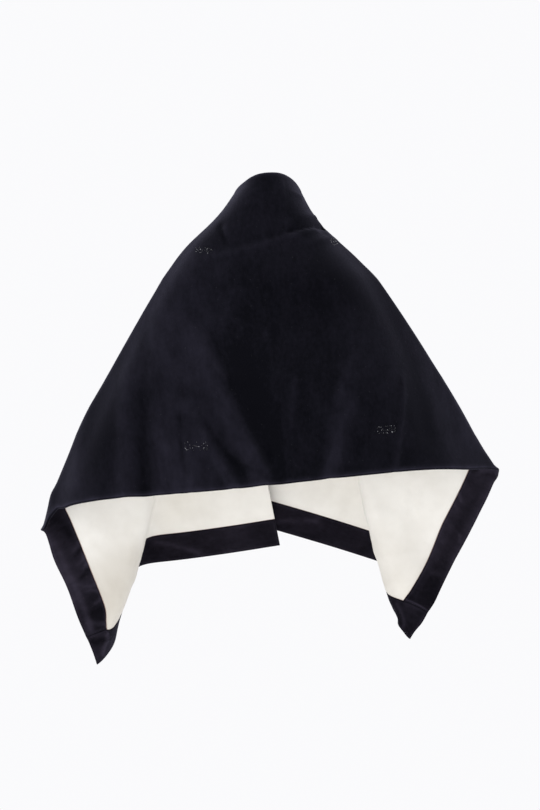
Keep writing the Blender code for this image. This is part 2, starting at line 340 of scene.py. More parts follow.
class Drape:
    """The form that the cloth takes on the body, as a map from the flat cut."""

    apex_out: float = -0.005
    apex_up: float = 0.236
    apex_to_hem: float = 0.650
    foot: float = -0.028
    foot_out: float = -0.103
    back_of_section: float = 0.19
    front_of_section: float = 0.25
    left_of_neck_row: int = 9
    neck_ends: float = 0.140
    body_begins: float = 0.305
    normal_step: float = 0.0015
    steps_in_bend: int = 24
    sharp: float = 0.5
    cuts_in_bend: int = 8
    chunk: int = 8000

    def __init__(self) -> None:
        """Works out the rounded section, and the angle of each of its points on the flat cut."""
        self.drops = np.concatenate([np.linspace(0.06, 0.40, 35), np.linspace(0.42, 1.15, 16)])
        self.section, middles = self._rounded_section()
        ray = np.column_stack([self.section, -np.ones(len(self.section))])
        ray /= np.linalg.norm(ray, axis=1)[:, None]
        turn = np.arccos(np.clip((ray[1:] * ray[:-1]).sum(axis=1), -1, 1))
        angle = np.concatenate([[0], np.cumsum(turn)])
        back = slice(middles[self.left_of_neck_row - 1], middles[self.left_of_neck_row] + 1)
        self.angle = angle - np.interp(self.foot_out, self.section[back, 0], angle[back])
        self.row_angle = self.angle[middles]
        reach = self.steps_in_bend // 2
        self.sharp_angles = [
            float(angle) for row, middle in zip(SECTION, middles) if row.soft < self.sharp
            for angle in self.angle[middle - reach:middle + reach + 1:self.steps_in_bend // self.cuts_in_bend]]

    def _rounded_section(self) -> tuple[np.ndarray, np.ndarray]:
        """Section with each bend rounded.

        Returns:
            Points (out, back) round the section, and the index of each row's middle.
        """
        corner = np.column_stack([column(SECTION, "out"), column(SECTION, "back")])
        points, middles = [corner[0]], [0]
        for i in range(1, len(SECTION) - 1):
            soft = 0.5 * SECTION[i].soft
            start = corner[i] + soft * (corner[i - 1] - corner[i])
            end = corner[i] + soft * (corner[i + 1] - corner[i])
            middles.append(len(points) + self.steps_in_bend // 2)
            for t in np.linspace(0, 1, self.steps_in_bend + 1):
                points.append((1 - t) ** 2 * start + 2 * t * (1 - t) * corner[i] + t ** 2 * end)
        points.append(corner[-1])
        middles.append(len(points) - 1)
        return np.array(points), np.array(middles)

    def place(self, flat: np.ndarray) -> np.ndarray:
        """Place on the body of each flat point.

        Args:
            flat: Points (u, v), a row each.

        Returns:
            Points on the plain drape, at the inner face of the velvet.
        """
        parts = [self._place(flat[i:i + self.chunk]) for i in range(0, len(flat), self.chunk)]
        return np.concatenate(parts)

    def _place(self, flat: np.ndarray) -> np.ndarray:
        """Place on the body of a few thousand flat points."""
        beside, below = flat[:, 0] - self.foot, self.apex_to_hem - flat[:, 1]
        angle = np.arctan2(beside, below)
        out = np.interp(angle, self.angle, self.section[:, 0])[:, None]
        back = np.interp(angle, self.angle, self.section[:, 1])[:, None]
        neck_out, neck_back, tuck = (
            smooth_between(angle, self.row_angle, column(SECTION, name))[:, None]
            for name in ("neck_out", "neck_back", "tuck"))
        drops, stops = self.drops, column(LEVELS, "drop")
        wide_left, wide_right, behind, before = (
            smooth_between(drops, stops, column(LEVELS, name))
            for name in ("wide_left", "wide_right", "behind", "before"))
        t = np.clip((drops - self.neck_ends) / (self.body_begins - self.neck_ends), 0, 1)
        body = t * t * (3 - 2 * t)
        x = (out * drops * body + neck_out * (1 - body)) * np.where(out > 0, wide_left, wide_right)
        y = back * drops * body + neck_back * (1 - body) + tuck
        y = y + behind * np.clip(back / self.back_of_section, 0, 1)
        y = y + before * np.clip(-back / self.front_of_section, 0, 1)
        along = np.sqrt(np.diff(x) ** 2 + np.diff(y) ** 2 + np.diff(drops) ** 2)
        reach = drops[0] + np.cumsum(np.column_stack([np.zeros(len(x)), along]), axis=1)
        wanted, row = np.hypot(beside, below), np.arange(len(x))
        k = np.clip((reach < wanted[:, None]).sum(axis=1) - 1, 0, reach.shape[1] - 2)
        t = (wanted - reach[row, k]) / (reach[row, k + 1] - reach[row, k])
        found = [values[row, k] + t * (values[row, k + 1] - values[row, k]) for values in (x, y, -drops + 0 * x)]
        return np.column_stack(found) + (self.apex_out, 0, self.apex_up)

    def cut_rays(self, slab: bmesh.types.BMesh) -> None:
        """Adds edges along the rays of the sharp bends, so that these come out clean.

        Args:
            slab: Sheet on the flat cut.
        """
        for angle in self.sharp_angles:
            geometry = slab.verts[:] + slab.edges[:] + slab.faces[:]
            bmesh.ops.bisect_plane(slab, geom=geometry, dist=2e-5, plane_co=(self.foot, self.apex_to_hem, 0),
                                   plane_no=(math.cos(angle), math.sin(angle), 0))

    def outward(self, flat: np.ndarray) -> np.ndarray:
        """Unit normals of the draped cloth at flat points, away from the wearer."""
        step = self.normal_step
        along = self.place(flat + (step, 0)) - self.place(flat - (step, 0))
        across = self.place(flat + (0, step)) - self.place(flat - (0, step))
        normal = np.cross(across, along)
        return normal / np.linalg.norm(normal, axis=1)[:, None]

    def lift(self, flat: np.ndarray) -> np.ndarray:
        """How far the folds that all the cloths share lift each flat point."""
        return sum(fold.height(flat) for fold in MAIN_FOLDS + FINE_FOLDS)

    def apply(self, flat: np.ndarray, offset: np.ndarray) -> np.ndarray:
        """Drapes points that lie off the cut.

        Args:
            flat: Points (u, v), a row each.
            offset: Distance of each from the inner face of the velvet, away from the wearer.

        Returns:
            Their places on the body.
        """
        drawn = flat + sum(pull.shift(flat) for pull in PULLS)
        risen = self.outward(drawn) * (self.lift(flat) + offset)[:, None]
        return self.place(drawn) + risen + sum(nudge.move(flat) for nudge in NUDGES)


def unevenness(flat: np.ndarray, size: float, turn: float) -> np.ndarray:
    """Smooth wandering value from -1 to 1 over the cut.

    Args:
        flat: Points (u, v), a row each.
        size: Rough width of its swells, in metres.
        turn: Angle that sets this pattern apart from others.

    Returns:
        A value for each point.
    """
    total = np.zeros(len(flat))
    for step, share in ((0.0, 0.40), (1.9, 0.26), (3.7, 0.20), (5.3, 0.14)):
        angle = turn + 2.4 * step
        wave = (1 + 0.37 * step) * math.pi / size
        along = flat @ np.array((math.cos(angle), math.sin(angle)))
        across = flat @ np.array((-math.sin(angle), math.cos(angle)))
        total += share * np.sin(wave * along + 1.7 * np.sin(0.6 * wave * across + step) + 9 * step)
    return total


class Value:
    """A number of a material that changes over the surface, with Python's operators for shader maths."""

    def __init__(self, paint: "Paint", socket: bpy.types.NodeSocket) -> None:
        """Wraps a node's output."""
        self.paint = paint
        self.socket = socket

    def _math(self, operation: str, *numbers: "Value | float") -> "Value":
        """Adds one Math node.

        Args:
            operation: What it works out.
            numbers: Its inputs, in order.

        Returns:
            Its result.
        """
        values = {i: n.socket if isinstance(n, Value) else n for i, n in enumerate(numbers)}
        node = self.paint.node("ShaderNodeMath", {"operation": operation}, values)
        return Value(self.paint, node.outputs[0])

    def __add__(self, other: "Value | float") -> "Value":
        """self + other."""
        return self._math("ADD", self, other)

    def __radd__(self, other: float) -> "Value":
        """other + self."""
        return self._math("ADD", other, self)

    def __sub__(self, other: "Value | float") -> "Value":
        """self - other."""
        return self._math("SUBTRACT", self, other)

    def __rsub__(self, other: float) -> "Value":
        """other - self."""
        return self._math("SUBTRACT", other, self)

    def __mul__(self, other: "Value | float") -> "Value":
        """self * other."""
        return self._math("MULTIPLY", self, other)

    def __rmul__(self, other: float) -> "Value":
        """other * self."""
        return self._math("MULTIPLY", other, self)

    def __truediv__(self, other: "Value | float") -> "Value":
        """self / other."""
        return self._math("DIVIDE", self, other)

    def __pow__(self, other: float) -> "Value":
        """self to a power."""
        return self._math("POWER", self, other)

    def __abs__(self) -> "Value":
        """Size without its sign."""
        return self._math("ABSOLUTE", self)

    def least(self, other: "Value | float") -> "Value":
        """The smaller of the two."""
        return self._math("MINIMUM", self, other)

    def sine(self) -> "Value":
        """Its sine."""
        return self._math("SINE", self)

    def ramp(self, low: float, high: float) -> "Value":
        """0 up to low, 1 from high on, and smooth between them."""
        values = {"Value": self.socket, "From Min": low, "From Max": high}
        node = self.paint.node("ShaderNodeMapRange", {"interpolation_type": "SMOOTHSTEP"}, values)
        return Value(self.paint, node.outputs["Result"])


class Paint:
    """Node tree of one material, on a Principled shader."""

    def __init__(self, name: str) -> None:
        """Starts a new material."""
        self.material = bpy.data.materials.new(name)
        self.material.use_nodes = True
        self.tree = self.material.node_tree
        self.shader = self.tree.nodes["Principled BSDF"]

    def node(self, kind: str, settings: dict | None = None, values: dict | None = None) -> bpy.types.Node:
        """Adds one node.

        Args:
            kind: The node's type.
            settings: Its properties by name, which are set first.
            values: Its inputs by name or number: plain values, sockets to link, or a Value.

        Returns:
            The node.
        """
        made = self.tree.nodes.new(kind)
        for key, setting in (settings or {}).items():
            setattr(made, key, setting)
        for key, value in (values or {}).items():
            self.join(value, made.inputs[key])
        return made

    def join(self, value: object, socket: bpy.types.NodeSocket) -> None:
        """Links a socket or a Value to an input, or sets a plain value on it."""
        value = value.socket if isinstance(value, Value) else value
        if isinstance(value, bpy.types.NodeSocket):
            self.tree.links.new(value, socket)
        else:
            socket.default_value = value

    def set(self, **values: object) -> None:
        """Sets or links the shader's own inputs, with _ for each space in a name."""
        for key, value in values.items():
            self.join(value, self.shader.inputs[key.replace("_", " ")])

    def cut(self, wide: float = 1.0, high: float = 1.0) -> bpy.types.NodeSocket:
        """The flat cut's own coordinates in metres, each multiplied."""
        place = self.node("ShaderNodeUVMap", {"uv_map": "cut"})
        values = {0: place.outputs["UV"], 1: (wide, high, 1.0)}
        return self.node("ShaderNodeVectorMath", {"operation": "MULTIPLY"}, values).outputs[0]

    def noise(self, place: bpy.types.NodeSocket, scale: float, detail: float = 2.0, rough: float = 0.5) -> Value:
        """Noise from 0 to 1 at a place, with scale waves in a metre."""
        values = {"Vector": place, "Scale": scale, "Detail": detail, "Roughness": rough}
        made = self.node("ShaderNodeTexNoise", {"noise_dimensions": "2D"}, values)
        return Value(self, made.outputs["Fac"])

    def mix(self, share: Value, first: object, second: object) -> bpy.types.NodeSocket:
        """Colour between two colours."""
        made = self.node("ShaderNodeMix", {"data_type": "RGBA"})
        for key, value in ((0, share), (6, first), (7, second)):
            self.join(value, made.inputs[key])
        return made.outputs[2]

    def bump(self, height: Value, depth: float, strength: float = 1.0) -> None:
        """Gives the shader a normal from a height.

        Args:
            height: Height from 0 to 1.
            depth: Metres that 1 stands for.
            strength: How much of it shows.
        """
        values = {"Height": height, "Distance": depth, "Strength": strength}
        self.set(Normal=self.node("ShaderNodeBump", None, values).outputs["Normal"])


@dataclass(frozen=True)
class PaintedLightPatch:
    """Soft oval of the cut with painted light, which makes it look paler, or painted shade where paler is below 0."""

    name: str
    middle_u: float
    middle_v: float
    half_u: float
    half_v: float
    paler: float

    def share(self, flat: np.ndarray) -> np.ndarray:
        """How much paler the patch makes each flat point."""
        away = (flat - (self.middle_u, self.middle_v)) / (self.half_u, self.half_v)
        near = 1 - np.clip((away ** 2).sum(axis=1), 0, 1)
        return self.paler * near * near * (3 - 2 * near)


# Painted light and shade on the velvet's colour, in place of the light on its curves: paler on the left of the back,
# the shoulders and the fronts, darker at the sides of the collar, the right shoulder and the left arm.
SHELL_PAINTED_LIGHT = (
    PaintedLightPatch("left blade", 0.180, 0.080, 0.120, 0.250, 0.18),
    PaintedLightPatch("left blade low", 0.180, 0.030, 0.070, 0.160, 0.20),
    PaintedLightPatch("left blade hollow", 0.135, 0.165, 0.045, 0.060, 0.10),
    PaintedLightPatch("left corner", 0.350, 0.010, 0.100, 0.120, 0.12),
    PaintedLightPatch("left shoulder", 0.160, 0.330, 0.150, 0.180, 0.22),
    PaintedLightPatch("left arm", 0.330, 0.200, 0.080, 0.220, -0.14),
    PaintedLightPatch("collar", 0.020, 0.450, 0.110, 0.090, 0.12),
    PaintedLightPatch("collar right side", -0.110, 0.475, 0.075, 0.080, -0.44),
    PaintedLightPatch("collar left side", 0.120, 0.480, 0.060, 0.100, -0.24),
    PaintedLightPatch("right shoulder", -0.200, 0.380, 0.120, 0.130, -0.26),
    PaintedLightPatch("right arm", -0.330, 0.150, 0.090, 0.200, 0.14),
    PaintedLightPatch("left front", 0.620, 0.260, 0.170, 0.330, 0.26),
    PaintedLightPatch("right front", -0.620, 0.260, 0.190, 0.330, 0.26),
    PaintedLightPatch("right front low", -0.560, 0.060, 0.090, 0.120, 0.10),
    PaintedLightPatch("right blade", -0.150, 0.140, 0.120, 0.240, 0.03),
)

# Painted light and shade on the facing's colour: a painted highlight on the bands and along their outer edges, painted
# shade low on the bands and on the left tip's flap.
FACING_PAINTED_LIGHT = (
    PaintedLightPatch("left band", 0.600, 0.020, 0.170, 0.090, 0.05),
    PaintedLightPatch("left outer edge", 0.565, 0.000, 0.120, 0.018, 0.38),
    PaintedLightPatch("left band low", 0.680, 0.020, 0.060, 0.060, -0.20),
    PaintedLightPatch("left tip flap", 0.730, 0.082, 0.062, 0.040, -0.90),
    PaintedLightPatch("right band", -0.530, 0.025, 0.170, 0.090, 0.20),
    PaintedLightPatch("right outer edge", -0.500, 0.000, 0.160, 0.018, 0.26),
    PaintedLightPatch("right band low", -0.700, 0.030, 0.080, 0.090, -0.16),
)

# On the satin, a patch is painted shade, darkest at the tip of each end.
LINING_PAINTED_SHADE = (
    PaintedLightPatch("left tip", 0.660, 0.090, 0.120, 0.140, 0.90),
    PaintedLightPatch("right tip", -0.670, 0.090, 0.090, 0.120, 0.45),
)


@dataclass(frozen=True)
class VelvetFinish:
    """Black cotton velvet: deep pile that swallows light, a violet bloom where it turns away, and painted light and
    shade in its colour.
    """

    name: str = "black velvet pile"
    # The colour runs from deep to pale: random mottling both ways, painted light towards pale and painted shade
    # towards deep.
    deep: tuple[float, float, float] = (0.0012, 0.0013, 0.0021)
    pale_pile_and_painted_light: tuple[float, float, float] = (0.0160, 0.0149, 0.0236)
    lint: tuple[float, float, float] = (0.05, 0.05, 0.055)
    mottling: float = 0.22
    sheen: float = 0.16
    sheen_roughness: float = 0.50
    sheen_tint: tuple[float, float, float] = (0.66, 0.64, 0.87)
    pile_depth: float = 0.0005

    def material(self) -> bpy.types.Material:
        """Makes the material: painted light and shade, random mottling and streaks, and a pile of fine tufts."""
        paint = Paint(self.name)
        # The cloth's attribute: an even tone with painted light and shade.
        painted_light_and_even_tone = Value(paint, paint.node("ShaderNodeAttribute", {"attribute_name": "tone_and_painted_light"}).outputs["Fac"])
        cloud = paint.noise(paint.cut(1.0, 0.8), 9.0, 3.0)
        streak = paint.noise(paint.cut(60.0, 6.0), 1.0, 2.0, 0.6)
        tuft = paint.noise(paint.cut(), 700.0, 2.0, 0.7)
        clump = paint.noise(paint.cut(1.0, 0.7), 150.0, 2.0, 0.6)
        crushed = paint.noise(paint.cut(1.0, 0.55), 42.0, 3.0, 0.6)
        tone_and_painted_light = painted_light_and_even_tone + (cloud - 0.5) * self.mottling + (crushed - 0.5) * (0.16 + painted_light_and_even_tone * 1.1)
        tone_and_painted_light = tone_and_painted_light + (streak - 0.5) * 0.06 + (clump - 0.5) * 0.22
        pile = paint.mix(tone_and_painted_light.least(1.0), (*self.deep, 1), (*self.pale_pile_and_painted_light, 1))
        speck = paint.noise(paint.cut(), 260.0, 1.0).ramp(0.81, 0.87)
        paint.set(
            Base_Color=paint.mix(speck * 0.30, pile, (*self.lint, 1)),
            Roughness=0.95 - tone_and_painted_light * 0.10,
            Specular_IOR_Level=0.0,
            Sheen_Weight=self.sheen,
            Sheen_Roughness=self.sheen_roughness,
            Sheen_Tint=(*self.sheen_tint, 1))
        paint.bump(tuft * 0.6 + clump * 0.4, self.pile_depth)
        return paint.material


@dataclass(frozen=True)
class SatinFinish:
    """Ivory satin: warm white, a soft gloss, fine threads along the cut, and a shaded line at its seams."""

    name: str = "ivory satin"
    light: tuple[float, float, float] = (0.955, 0.93, 0.87)
    warm: tuple[float, float, float] = (0.66, 0.620, 0.545)
    seam: tuple[float, float, float] = (0.30, 0.16, 0.13)
    roughness: float = 0.42
    specular: float = 0.40
    sheen: float = 0.08
    thread_depth: float = 0.00012
    to_seam_u: float = 0.70
    to_seam_v: float = 0.05

    def material(self) -> bpy.types.Material:
        """Makes the material: faint clouds of tone, threads, slubs, the seam's shade and painted shade near the tips.
        """
        paint = Paint(self.name)
        parts = paint.node("ShaderNodeSeparateXYZ", None, {0: paint.cut()})
        u, v = (Value(paint, parts.outputs[i]) for i in (0, 1))
        edge = (self.to_seam_u - abs(u)).least(v - self.to_seam_v)
        # A dark reddish line right along the seam.
        seam_line = 1 - edge.ramp(0.0003, 0.0018)
        shaded = 1 - edge.ramp(0.001, 0.012)
        cloud = paint.noise(paint.cut(), 16.0, 3.0, 0.55)
        weft = paint.noise(paint.cut(300.0, 2600.0), 1.0, 1.0)
        slub = paint.noise(paint.cut(40.0, 900.0), 1.0, 2.0).ramp(0.62, 0.80)
        # Painted shade near the tips of the ends, from the cloth's attribute.
        painted_shade = Value(paint, paint.node("ShaderNodeAttribute", {"attribute_name": "tone_and_painted_light"}).outputs["Fac"])
        tone = cloud.ramp(0.35, 0.80) * 0.22 + slub * 0.06 + shaded * 0.14 + painted_shade * 0.9
        satin = paint.mix(tone.least(1.0), (*self.light, 1), (*self.warm, 1))
        paint.set(
            Base_Color=paint.mix(seam_line * 0.85, satin, (*self.seam, 1)),
            Roughness=self.roughness + cloud * 0.10,
            Specular_IOR_Level=self.specular,
            Sheen_Weight=self.sheen)
        paint.bump(weft * 0.5 + slub * 0.3 + cloud * 0.2, self.thread_depth)
        return paint.material


@dataclass(frozen=True)
class ThreadFinish:
    """Dark twisted thread, with glints painted into its colour."""

    name: str = "dark glossy thread"
    dark: tuple[float, float, float] = (0.012, 0.012, 0.015)
    painted_glint: tuple[float, float, float] = (0.26, 0.26, 0.28)
    roughness: float = 0.35

    def material(self) -> bpy.types.Material:
        """Makes the material: painted glints, and the twist's turns in roughness and bumps."""
        paint = Paint(self.name)
        twist = paint.noise(paint.cut(), 900.0, 1.0)
        # Painted glints on the thread.
        painted_highlight_mask = paint.noise(paint.cut(), 230.0, 1.0).ramp(0.48, 0.66)
        paint.set(
            Base_Color=paint.mix(painted_highlight_mask * (0.6 + twist * 0.4), (*self.dark, 1), (*self.painted_glint, 1)),
            Roughness=self.roughness + twist * 0.15,
            Specular_IOR_Level=0.25)
        paint.bump(twist, 0.0001)
        return paint.material


@dataclass(frozen=True)
class FloorFinish:
    """Matt pale studio floor."""

    name: str = "pale studio floor"
    tone: tuple[float, float, float] = (0.64, 0.64, 0.65)
    fades_from: float = 1.0
    fades_to: float = 2.5

    def material(self) -> bpy.types.Material:
        """Makes the material, with a faint unevenness of tone, which fades out far from the middle."""
        paint = Paint(self.name)
        place = paint.node("ShaderNodeTexCoord").outputs["Object"]
        parts = paint.node("ShaderNodeSeparateXYZ", None, {0: place})
        x, y = (Value(paint, parts.outputs[i]) for i in (0, 1))
        tone = paint.noise(place, 1.3, 3.0)
        shade = tuple(0.96 * part for part in self.tone)
        paint.set(
            Base_Color=paint.mix(tone, (*shade, 1), (*self.tone, 1)),
            Roughness=0.85,
            Alpha=1 - ((x * x + y * y) ** 0.5).ramp(self.fades_from, self.fades_to))
        return paint.material


# Places of the grids' rows that all the cloths share, so that folds bend them alike: close together on the back.
LATTICE_U = np.concatenate([np.linspace(-0.75, -0.40, 55, endpoint=False), np.linspace(-0.40, 0.40, 251),
                            np.linspace(0.75, 0.40, 55, endpoint=False)[::-1]])
LATTICE_V = np.linspace(0, 0.53, 108)


@dataclass
class Cloth:
    """One cloth of the stole, as a closed thin sheet over a rectangle of the flat cut.

    inner and outer are the distances of its faces from the inner face of the velvet. turned is how far in from
    an edge its rounding reaches, and thin is the share of its thickness that is left at the edge itself.
    """

    name: str
    slot: Slot
    span_u: tuple[float, float]
    span_v: tuple[float, float]
    inner: float
    outer: float
    turned: float = 0.0022
    thin: float = 0.18
    near_edge: tuple[float, ...] = (0.0005, 0.0013, 0.0024, 0.0034, 0.0045)
    rounded: tuple[Face, ...] = (Face.OUTER, Face.INNER)
    split: int = 1
    wrinkles: tuple[Fold, ...] = ()
    # The last five fields set the painted light and shade in the colour, over an even tone.
    patches: tuple[PaintedLightPatch, ...] = ()
    evenly: float = 0.06
    crest: float = 62.0
    own_crest: float = 0.0
    painted_edge_highlight: float = 0.60

    @property
    def flat_size(self) -> tuple[float, float]:
        """Width and length of the cut."""
        return self.span_u[1] - self.span_u[0], self.span_v[1] - self.span_v[0]

    def stops(self, span: tuple[float, float], lattice: np.ndarray) -> np.ndarray:
        """Rising places of the grid's rows over a span, which is finest along both edges.

        Args:
            span: Where the cloth begins and ends.
            lattice: Places that all the cloths share.

        Returns:
            The places.
        """
        low, high = span
        parts = np.arange((len(lattice) - 1) * self.split + 1) / self.split
        lattice = np.interp(parts, np.arange(len(lattice)), lattice)
        kept = lattice[(lattice > low + self.near_edge[-1] * 1.5) & (lattice < high - self.near_edge[-1] * 1.5)]
        ends = np.array((0.0, *self.near_edge))
        return np.concatenate([low + ends, kept, (high - ends)[::-1]])

    def grid(self, drape: Drape) -> bmesh.types.BMesh:
        """Closed flat slab over the rectangle, one unit thick, with extra rows along its edges."""
        along, across = self.stops(self.span_u, LATTICE_U), self.stops(self.span_v, LATTICE_V)
        columns, rows = len(along) - 1, len(across) - 1
        slab = bmesh.new()
        bmesh.ops.create_grid(slab, x_segments=columns, y_segments=rows, size=0.5)
        for vertex in slab.verts:
            x, y, _ = vertex.co
            vertex.co = (along[round((x + 0.5) * columns)], across[round((y + 0.5) * rows)], 0)
        drape.cut_rays(slab)
        made = bmesh.ops.extrude_face_region(slab, geom=slab.faces[:])
        upper = [item for item in made["geom"] if isinstance(item, bmesh.types.BMVert)]
        bmesh.ops.translate(slab, vec=(0, 0, 1), verts=upper)
        bmesh.ops.recalc_face_normals(slab, faces=slab.faces[:])
        bmesh.ops.reverse_faces(slab, faces=slab.faces[:])
        return slab

    def to_edge(self, flat: np.ndarray) -> np.ndarray:
        """Distance of each flat point from the nearest edge."""
        (low_u, high_u), (low_v, high_v) = self.span_u, self.span_v
        u, v = flat[:, 0], flat[:, 1]
        return np.maximum(np.minimum.reduce([u - low_u, high_u - u, v - low_v, high_v - v]), 0)

    def offset(self, flat: np.ndarray, through: np.ndarray) -> np.ndarray:
        """Distance of each point from the inner face of the velvet.

        Args:
            flat: Points (u, v), a row each.
            through: 0 on the inner face and 1 on the outer one.

        Returns:
            Metres away from the wearer.
        """
        near = 1 - np.clip(self.to_edge(flat) / self.turned, 0, 1)
        full = self.thin + (1 - self.thin) * np.sqrt(1 - near ** 2)
        pivot = {(Face.OUTER,): self.inner, (Face.INNER,): self.outer}.get(
            self.rounded, (self.inner + self.outer) / 2)
        plain = self.inner + through * (self.outer - self.inner)
        return pivot + (plain - pivot) * full - sum(fold.height(flat) for fold in self.wrinkles)

    def tone_and_painted_light(self, flat: np.ndarray, drape: Drape) -> np.ndarray:
        """Even tone of the pile, with painted light and shade: in patches, as painted light on the crests of folds and
        painted shade in their troughs, and as a painted highlight along the edges.

        Args:
            flat: Points (u, v), a row each.
            drape: The form that the cloth is laid on.

        Returns:
            0 for deep pile and 1 for pale, a value each.
        """
        # Painted light on the crests of folds and painted shade in their troughs.
        crests = np.clip(self.crest * drape.lift(flat), -0.22, 0.34)
        crests = crests + np.clip(self.own_crest * sum(fold.height(flat) for fold in self.wrinkles), -0.40, 0.60)
        # Painted highlight along a line just in from each edge, where the rim catches the light.
        line = np.exp(-((self.to_edge(flat) - 0.0032) / 0.0013) ** 2)
        rim_highlight = self.painted_edge_highlight * line * (0.7 + 0.4 * unevenness(flat, 0.08, 0.3))
        patches = sum(patch.share(flat) for patch in self.patches)
        return np.clip(self.evenly + patches + crests + rim_highlight, 0, 1)

    def build(self, drape: Drape) -> bpy.types.Object:
        """Makes the piece.

        Args:
            drape: The form it is laid on.

        Returns:
            Its object, at the origin.
        """
        slab = self.grid(drape)
        data = bpy.data.meshes.new(self.name)
        slab.to_mesh(data)
        slab.free()
        laid = np.empty(len(data.vertices) * 3)
        data.vertices.foreach_get("co", laid)
        laid = laid.reshape(-1, 3)
        flat = laid[:, :2]
        corner = np.empty(len(data.loops), dtype=int)
        data.loops.foreach_get("vertex_index", corner)
        data.uv_layers.new(name="cut").data.foreach_set("uv", flat[corner].ravel())
        draped = drape.apply(flat, self.offset(flat, laid[:, 2]))
        data.vertices.foreach_set("co", draped.ravel())
        # The attribute holds the even tone and the painted light and shade.
        data.attributes.new("tone_and_painted_light", "FLOAT", "POINT").data.foreach_set("value", self.tone_and_painted_light(flat, drape))
        data.shade_smooth()
        data.update()
        piece = bpy.data.objects.new(self.name, data)
        bpy.context.scene.collection.objects.link(piece)
        return piece

    def dress(self, piece: bpy.types.Object, material: bpy.types.Material, node: str) -> None:
        """Gives the piece its material and its place in the frame.

        Args:
            piece: The draped object.
            material: Its finish.
            node: The solid that it stands for.
        """
        piece.data.materials.append(material)
        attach(piece, "root")
        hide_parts(node)
        self.flat_size
        LOG.info("%s: %d faces", self.name, len(piece.data.polygons))


@dataclass
class VelvetShell(Cloth):
    """Outer velvet, whose edges are turned over and so stand a little thicker."""

    roll: float = 0.0013
    roll_in: float = 0.0045

    def offset(self, flat: np.ndarray, through: np.ndarray) -> np.ndarray:
        """Adds the soft roll of the turned edge to the outer face."""
        away = (self.to_edge(flat) - self.roll_in) / self.roll_in
        uneven = 0.75 + 0.35 * unevenness(flat, 0.045, 0.6)
        return super().offset(flat, through) + through * self.roll * uneven * np.exp(-1.5 * away ** 2)


@dataclass
class Lining(Cloth):
    """Satin lining, which is caught down at its seams and lies in soft wrinkles towards the wearer."""

    swell: float = 0.0014
    swell_in: float = 0.009
    pucker: float = 0.0005
    pucker_pitch: float = 0.013

    def offset(self, flat: np.ndarray, through: np.ndarray) -> np.ndarray:
        """Moves the lining off the velvet between its seams."""
        edge = self.to_edge(flat)
        free = 1 - np.exp(-edge / self.swell_in)
        around = flat[:, 0] + flat[:, 1] + 0.004 * unevenness(flat, 0.05, 2.2)
        caught = np.exp(-edge / 0.006) * (1 - np.exp(-edge / 0.0012))
        puckers = self.pucker * caught * (1 + np.sin(2 * math.pi * around / self.pucker_pitch))
        waves = 0.0006 * (1 + unevenness(flat, 0.06, 1.1)) + 0.0004 * (1 + unevenness(flat, 0.022, 2.9))
        return super().offset(flat, through) - free * (self.swell + waves) - puckers


WRINKLES = (
    Fold("left panel upper", 0.520, 0.075, 0.600, 0.110, 0.016, 0.0008, 0.0012, 0.010),
    Fold("left panel middle", 0.560, 0.070, 0.640, 0.130, 0.012, 0.0010, 0.0006, -0.006),
    Fold("left panel lower", 0.630, 0.065, 0.680, 0.160, 0.014, 0.0012, 0.0016, 0.008),
    Fold("left tip drag", 0.694, 0.056, 0.660, 0.110, 0.009, 0.0012, 0.0005, 0.003, 0.2),
    Fold("left end drag", 0.694, 0.150, 0.620, 0.230, 0.014, 0.0010, 0.0014, 0.008),
    Fold("right panel upper", -0.470, 0.085, -0.540, 0.120, 0.014, 0.0008, 0.0010, 0.006),
    Fold("right panel side", -0.500, 0.160, -0.600, 0.180, 0.018, 0.0014, 0.0008, -0.012),
    Fold("right panel lower", -0.600, 0.062, -0.650, 0.150, 0.012, 0.0010, 0.0014, 0.006),
    Fold("right tip drag", -0.694, 0.056, -0.650, 0.100, 0.008, 0.0012, 0.0005, 0.003, 0.2),
    Fold("right end drag", -0.694, 0.200, -0.600, 0.300, 0.016, 0.0012, 0.0016, 0.010),
    Fold("back left fall", 0.150, 0.400, 0.210, 0.070, 0.018, 0.0010, 0.0030, 0.012),
    Fold("back middle fall", 0.020, 0.380, 0.060, 0.060, 0.022, 0.0008, 0.0026, -0.016),
    Fold("back right fall", -0.120, 0.400, -0.230, 0.060, 0.018, 0.0008, 0.0030, 0.010),
    Fold("left shoulder drag", 0.260, 0.480, 0.360, 0.250, 0.016, 0.0014, 0.0018, -0.012),
    Fold("right shoulder drag", -0.280, 0.480, -0.400, 0.220, 0.018, 0.0014, 0.0022, 0.014),
    Fold("left front fall", 0.480, 0.440, 0.560, 0.240, 0.014, 0.0012, 0.0016, 0.008),
    Fold("right front fall", -0.500, 0.450, -0.590, 0.260, 0.016, 0.0012, 0.0018, -0.008),
)


